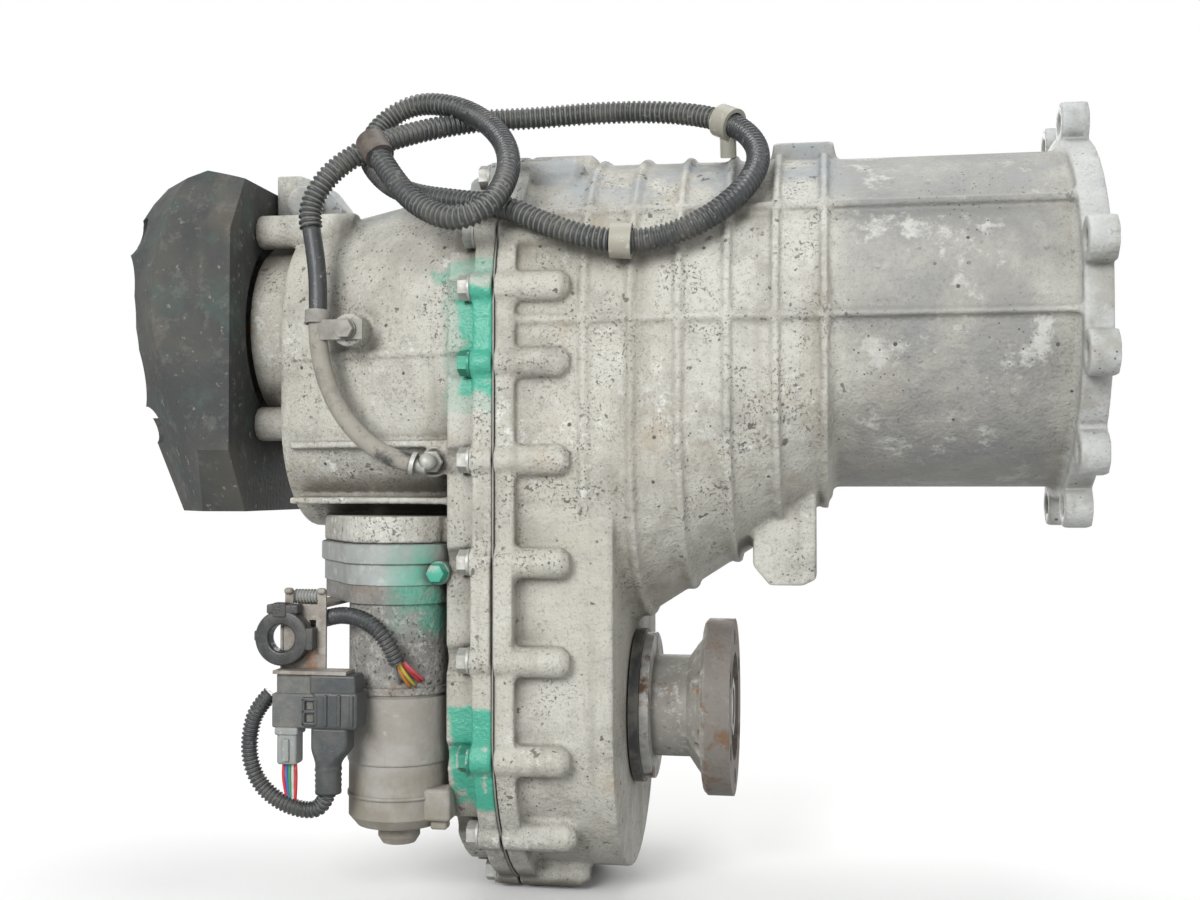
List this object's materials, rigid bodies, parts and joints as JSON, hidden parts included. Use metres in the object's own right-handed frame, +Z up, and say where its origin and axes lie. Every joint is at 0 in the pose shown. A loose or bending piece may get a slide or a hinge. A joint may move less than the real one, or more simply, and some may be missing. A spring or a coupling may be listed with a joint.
{
  "type": "transfer case",
  "caption": "Chain-driven four-wheel-drive transfer case with a low range, a range servo, front and rear output flanges and a breather line.",
  "frame": {"origin": "centre of the mating face that bolts to the gearbox, on the main shaft's axis", "axes": "+X along the main shaft towards the gearbox, +Z up, +Y to the vehicle's far side"},
  "size_m": [0.6072, 0.266, 0.4986],
  "materials": {
    "cast_aluminium": "as cast, dusty",
    "cast_cover": "as cast, dusty",
    "gasket": "matte",
    "zinc_steel": "dull zinc",
    "gear_steel": "oiled",
    "bearing_steel": "ground",
    "rusty_steel": "rusty",
    "seal_rubber": "matte",
    "friction": "matte",
    "damper_iron": "matte black, dusty",
    "servo_cast": "rough, speckled",
    "servo_can": "satin",
    "motor_core": "satin",
    "black_plastic": "matte",
    "grey_plastic": "matte",
    "conduit": "matte",
    "hose": "matte",
    "brass": "dull"
  },
  "bodies": {
    "housing": {"front_case": "cast_aluminium", "rear_cover": "cast_cover", "case_gasket": "gasket", "case_bolts": "zinc_steel", "oil_plugs": "zinc_steel", "input_bearing": "bearing_steel", "input_seal": "seal_rubber", "ring_gear": "gear_steel", "drive_chain": "gear_steel", "front_bearing": "bearing_steel", "front_end_bearing": "bearing_steel", "front_seal": "seal_rubber", "oil_pump": "cast_cover", "rear_bearing": "bearing_steel", "rear_seal": "seal_rubber", "rear_damper": "damper_iron", "damper_bolts": "zinc_steel", "servo_gear_housing": "servo_cast", "servo_base_plate": "servo_cast", "servo_body": "servo_cast", "servo_can": "servo_can", "servo_end_cap": "black_plastic", "wiring_bracket": "rusty_steel", "cable_clip": "black_plastic", "connector_block": "black_plastic", "connector_plug": "grey_plastic", "connector_boot": "black_plastic", "plug_conduit": "conduit", "motor_conduit": "conduit", "breather_nozzle": "black_plastic", "breather_hose": "hose", "breather_conduit": "conduit", "conduit_end_cap": "black_plastic", "conduit_clips": "grey_plastic", "hose_clip": "zinc_steel", "clip_bolt": "zinc_steel"},
    "input": {"input_shaft": "gear_steel"},
    "carrier": {"planet_carrier": "gear_steel"},
    "planet_1": {"planet_gear_1": "gear_steel"},
    "planet_2": {"planet_gear_2": "gear_steel"},
    "planet_3": {"planet_gear_3": "gear_steel"},
    "main": {"main_shaft": "gear_steel", "clutch_drum": "gear_steel", "clutch_discs": "friction", "drive_sprocket": "gear_steel", "oil_pump_rotor": "gear_steel", "rear_output_flange": "rusty_steel", "rear_flange_nut": "zinc_steel"},
    "sleeve": {"range_sleeve": "gear_steel"},
    "plate": {"pressure_plate": "gear_steel"},
    "front_output": {"front_output_shaft": "gear_steel", "driven_sprocket": "gear_steel", "front_output_flange": "rusty_steel", "front_flange_nut": "zinc_steel", "front_dust_ring": "rusty_steel"},
    "rail": {"shift_rail": "gear_steel", "shift_fork": "brass"},
    "cam": {"range_cam": "gear_steel", "servo_output_gear": "black_plastic"},
    "armature": {"servo_armature": "motor_core"}
  },
  "joints": [
    {"name": "main_spin", "type": "hinge", "parent": "housing", "child": "main", "pos_m": [-0.4, 0, 0], "axis": [1, 0, 0], "continuous": true},
    {"name": "input_spin", "type": "hinge", "parent": "housing", "child": "input", "pos_m": [-0.098, 0, 0], "axis": [1, 0, 0], "continuous": true},
    {"name": "carrier_spin", "type": "hinge", "parent": "housing", "child": "carrier", "pos_m": [-0.133, 0, 0], "axis": [1, 0, 0], "continuous": true},
    {"name": "planet_1_spin", "type": "hinge", "parent": "carrier", "child": "planet_1", "pos_m": [-0.133, 0, 0.048], "axis": [1, 0, 0], "continuous": true},
    {"name": "planet_2_spin", "type": "hinge", "parent": "carrier", "child": "planet_2", "pos_m": [-0.133, -0.04157, -0.024], "axis": [1, 0, 0], "continuous": true},
    {"name": "planet_3_spin", "type": "hinge", "parent": "carrier", "child": "planet_3", "pos_m": [-0.133, 0.04157, -0.024], "axis": [1, 0, 0], "continuous": true},
    {"name": "front_output_spin", "type": "hinge", "parent": "housing", "child": "front_output", "pos_m": [-0.3, 0, -0.242], "axis": [1, 0, 0], "continuous": true},
    {"name": "rail_slide", "type": "slide", "parent": "housing", "child": "rail", "axis": [-1, 0, 0], "range_m": [0, 0.01157]},
    {"name": "range_cam_turn", "type": "hinge", "parent": "housing", "child": "cam", "pos_m": [-0.42291, -0.03123, -0.15], "axis": [0, 0, 1], "range_deg": [0, 80.2]},
    {"name": "sleeve_slide", "type": "slide", "parent": "main", "child": "sleeve", "axis": [-1, 0, 0], "range_m": [0, 0.01162]},
    {"name": "armature_spin", "type": "hinge", "parent": "housing", "child": "armature", "pos_m": [-0.408, -0.08, -0.25], "axis": [0, 0, 1], "range_deg": [-375, 0]},
    {"name": "clutch_apply", "type": "slide", "parent": "main", "child": "plate", "axis": [-1, 0, 0], "range_m": [0, 0.0015]}
  ],
  "couplings": [
    {"joint": "input_spin", "follows": "main_spin", "ratio": 1},
    {"joint": "carrier_spin", "follows": "main_spin", "ratio": 0.375},
    {"joint": "planet_1_spin", "follows": "main_spin", "ratio": -1.875},
    {"joint": "planet_2_spin", "follows": "main_spin", "ratio": -1.875},
    {"joint": "planet_3_spin", "follows": "main_spin", "ratio": -1.875},
    {"joint": "front_output_spin", "follows": "main_spin", "ratio": 1},
    {"joint": "range_cam_turn", "follows": "rail_slide", "rad_per_m": 120.68},
    {"joint": "sleeve_slide", "follows": "rail_slide", "ratio": 1},
    {"joint": "armature_spin", "follows": "rail_slide", "rad_per_m": -563.16}
  ]
}
